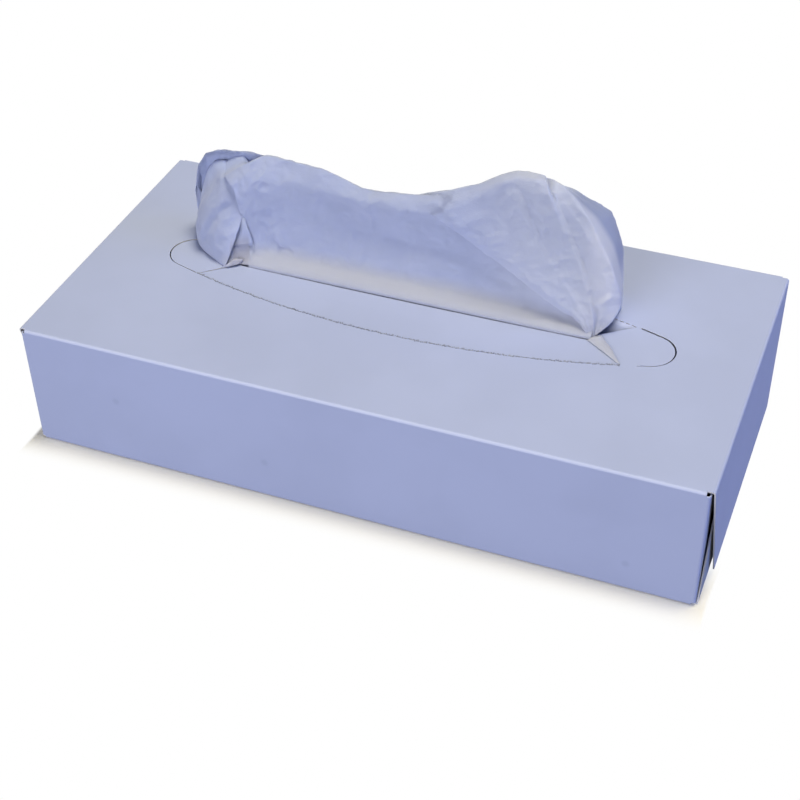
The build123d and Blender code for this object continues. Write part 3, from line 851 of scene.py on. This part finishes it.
def crease_line():
    """The front crease of the opening as points, a little above the panel."""
    half_angle = math.asin(CREASE_HALF_LENGTH / ARC_RADIUS)
    points = []
    for turn in np.linspace(-half_angle, half_angle, CREASE_POINTS):
        x = ARC_RADIUS * math.sin(turn)
        y = OPENING_OFFSET - OPENING_HALF_WIDTH + ARC_RADIUS * (1 - math.cos(turn))
        points.append((x, y, TOP + CREASE_RISE))
    return points


def random_between(tree, low, high, seed):
    """A random number or vector for each point."""
    if isinstance(low, tuple):
        kind, first, result = "FLOAT_VECTOR", 0, 0
    else:
        kind, first, result = "FLOAT", 2, 1
    inputs = {first: low, first + 1: high, "Seed": seed}
    return add(tree, "FunctionNodeRandomValue", inputs, data_type=kind).outputs[result]


def fibre_tree(material):
    """Short fibres set along a line of edges, with named inputs for their spacing, size and seed."""
    tree = bpy.data.node_groups.new("torn_fibres", "GeometryNodeTree")
    tree.interface.new_socket("Line", in_out="INPUT", socket_type="NodeSocketGeometry")
    for label, (kind, default) in FIBRE_INPUTS.items():
        tree.interface.new_socket(label, in_out="INPUT", socket_type=kind).default_value = default
    tree.interface.new_socket("Fibres", in_out="OUTPUT", socket_type="NodeSocketGeometry")
    given = tree.nodes.new("NodeGroupInput").outputs
    end = tree.nodes.new("NodeGroupOutput")
    seed = given["Seed"]

    curve = add(tree, "GeometryNodeMeshToCurve", {"Mesh": given["Line"]})
    points = add(tree, "GeometryNodeCurveToPoints", {"Curve": curve.outputs[0], "Length": given["Spacing"]},
                 mode="LENGTH")
    aside = add(tree, "ShaderNodeVectorMath",
                {0: random_between(tree, *FIBRE_ASIDE, seed), "Scale": given["Spread"]}, operation="SCALE")
    moved = add(tree, "GeometryNodeSetPosition",
                {"Geometry": points.outputs["Points"], "Offset": aside.outputs[0]})
    fibre = add(tree, "GeometryNodeMeshCube", {"Size": FIBRE_SIZE})
    placed = add(tree, "GeometryNodeInstanceOnPoints", {
        "Points": moved.outputs[0],
        "Instance": fibre.outputs["Mesh"],
        "Rotation": random_between(tree, *FIBRE_TURNS, seed),
        "Scale": all_of(tree, random_between(tree, *FIBRE_SCALES, seed), given["Length"]),
    })
    real = add(tree, "GeometryNodeRealizeInstances", {0: placed.outputs[0]})
    finish = add(tree, "GeometryNodeSetMaterial", {"Geometry": real.outputs[0], "Material": material})
    feed(tree, end.inputs["Fibres"], finish.outputs[0])
    return tree


def torn_fibres():
    """The fibres left along the crease where the opening was pressed in."""
    line = crease_line()
    mesh = bpy.data.meshes.new("crease_line")
    mesh.from_pydata(line, [(i, i + 1) for i in range(len(line) - 1)], [])
    guide = in_scene("crease_guide", mesh)
    nodes = guide.modifiers.new("fibres", "NODES")
    nodes.node_group = fibre_tree(fibre_material())
    for item in nodes.node_group.interface.items_tree:
        if item.in_out == "INPUT" and item.name in FIBRE_INPUTS:
            nodes[item.identifier] = FIBRE_INPUTS[item.name][1]
    guide.update_tag()
    evaluated = guide.evaluated_get(bpy.context.evaluated_depsgraph_get())
    made = bpy.data.meshes.new_from_object(evaluated)
    bpy.data.objects.remove(guide)
    return in_scene("torn_fibres", made)


# Stage, lights and camera

FLOOR_HALF = 3.0
FLOOR_BOUNCE = (0.20, 0.21, 0.24)
FLOOR_SHADE = (0.95, 0.90, 0.76)
FLOOR_GLOW = 0.02
WORLD_FILL = (0.80, 0.88, 1.0)
WORLD_FILL_STRENGTH = 0.03
# The floor turns from shaded to white between these distances in front of the carton, sooner beside its
# ends and later behind it
SHADE_REACH = (0.5 * MM, 11 * MM)
SHADE_BESIDE = 7.0
SHADE_BEHIND = 0.5

# Lamps: name, place, size, watts and colour
LAMPS = [
    ("overhead", (0.22, 0.06, 1.20), 0.45, 11.5, (1.0, 0.95, 0.76)),
    ("front", (-0.20, -1.25, 0.45), 0.8, 15.0, (0.816, 0.841, 1.0)),
    ("right", (1.10, 0.10, 0.40), 0.9, 5.5, (0.09, 0.25, 1.0)),
    ("rear", (-0.45, 1.25, 0.11), 0.4, 8.0, (0.90, 0.93, 1.0)),
]
LAMP_AIM = (0, 0, 0.03)

CAMERA_PLACE = (0.1545, -0.3914, 0.3503)
CAMERA_AZIMUTH = 22.06
CAMERA_ELEVATION = 39.42
CAMERA_ROLL = -1.23
CAMERA_LENS = 70.43
CAMERA_SENSOR = 36.0


def floor_surface(tree):
    """The floor as the camera sees it: shaded close to the carton, and plain white away from it."""
    shade = add(tree, "ShaderNodeBsdfDiffuse", {"Color": FLOOR_SHADE})
    glow = add(tree, "ShaderNodeEmission", {"Color": WHITE, "Strength": FLOOR_GLOW})
    near = add(tree, "ShaderNodeAddShader", {0: shade.outputs[0], 1: glow.outputs[0]})
    white = add(tree, "ShaderNodeEmission", {"Color": WHITE, "Strength": 1.0})
    x, y = split(tree, object_place(tree))[:2]
    beside = calculate(tree, "SUBTRACT", calculate(tree, "ABSOLUTE", x), END)
    before = calculate(tree, "SUBTRACT", FRONT, y)
    behind = calculate(tree, "SUBTRACT", y, FRONT)
    away = any_of(tree, all_of(tree, beside, SHADE_BESIDE), before, all_of(tree, behind, SHADE_BEHIND))
    surface = add(tree, "ShaderNodeMixShader",
                  {0: ramp(tree, away, *SHADE_REACH), 1: near.outputs[0], 2: white.outputs[0]})
    return surface.outputs[0]


def floor():
    """A plain white floor that keeps the soft shadow of the carton, and sends little light back to it."""
    material, tree, surface = bare_material("white_floor")
    bounce = add(tree, "ShaderNodeBsdfDiffuse", {"Color": FLOOR_BOUNCE})
    choice = add(tree, "ShaderNodeMixShader",
                 {0: seen_directly(tree), 1: bounce.outputs[0], 2: floor_surface(tree)})
    feed(tree, surface, choice.outputs[0])
    corners = [(-FLOOR_HALF, -FLOOR_HALF, 0), (FLOOR_HALF, -FLOOR_HALF, 0),
               (FLOOR_HALF, FLOOR_HALF, 0), (-FLOOR_HALF, FLOOR_HALF, 0)]
    mesh = bpy.data.meshes.new("floor")
    mesh.from_pydata(corners, [], [(0, 1, 2, 3)])
    mesh.materials.append(material)
    in_scene("floor", mesh)


def world():
    """A white surround to look at, with a plain bluish fill for the object."""
    made = bpy.data.worlds.new("studio")
    bpy.context.scene.world = made
    made.use_nodes = True
    tree = made.node_tree
    tree.nodes.clear()
    fill = add(tree, "ShaderNodeBackground", {"Color": WORLD_FILL, "Strength": WORLD_FILL_STRENGTH})
    white = add(tree, "ShaderNodeBackground", {"Color": WHITE, "Strength": 1.0})
    choice = add(tree, "ShaderNodeMixShader",
                 {0: seen_directly(tree), 1: fill.outputs[0], 2: white.outputs[0]})
    add(tree, "ShaderNodeOutputWorld", {"Surface": choice.outputs[0]})


def lamp(name, place, size, watts, colour):
    """A round soft lamp that is turned towards the carton."""
    data = bpy.data.lights.new(name, "AREA")
    data.shape = "DISK"
    data.size = size
    data.energy = watts
    data.color = colour
    made = in_scene(name, data)
    made.location = place
    made.rotation_euler = (Vector(LAMP_AIM) - Vector(place)).to_track_quat("-Z", "Y").to_euler()


def camera():
    """The camera at the photograph's angle, level but for a slight roll."""
    azimuth, elevation, roll = (math.radians(v) for v in (CAMERA_AZIMUTH, CAMERA_ELEVATION, CAMERA_ROLL))
    out = math.cos(elevation)
    back = Vector((math.sin(azimuth) * out, -math.cos(azimuth) * out, math.sin(elevation)))
    level = (-back).cross(Vector((0, 0, 1))).normalized()
    upright = level.cross(-back)
    right = level * math.cos(roll) + upright * math.sin(roll)
    up = upright * math.cos(roll) - level * math.sin(roll)
    data = bpy.data.cameras.new("camera")
    data.lens = CAMERA_LENS
    data.sensor_width = CAMERA_SENSOR
    data.clip_start = 10 * MM
    made = in_scene("camera", data)
    made.matrix_world = Matrix((
        (right.x, up.x, back.x, CAMERA_PLACE[0]),
        (right.y, up.y, back.y, CAMERA_PLACE[1]),
        (right.z, up.z, back.z, CAMERA_PLACE[2]),
        (0, 0, 0, 1),
    ))
    bpy.context.scene.camera = made


camera()
world()
floor()
for settings in LAMPS:
    lamp(*settings)

for node_name, make in (("carton", board_material), ("tissue_stack", pack_material)):
    node = frame["nodes"][node_name]
    node.data.materials.clear()
    node.data.materials.append(make())

sheet = raised_tissue()
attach(sheet, "root")
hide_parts("raised_tissue")

fibres = torn_fibres()
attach(fibres, "root")

bpy.context.scene.view_settings.view_transform = "Standard"
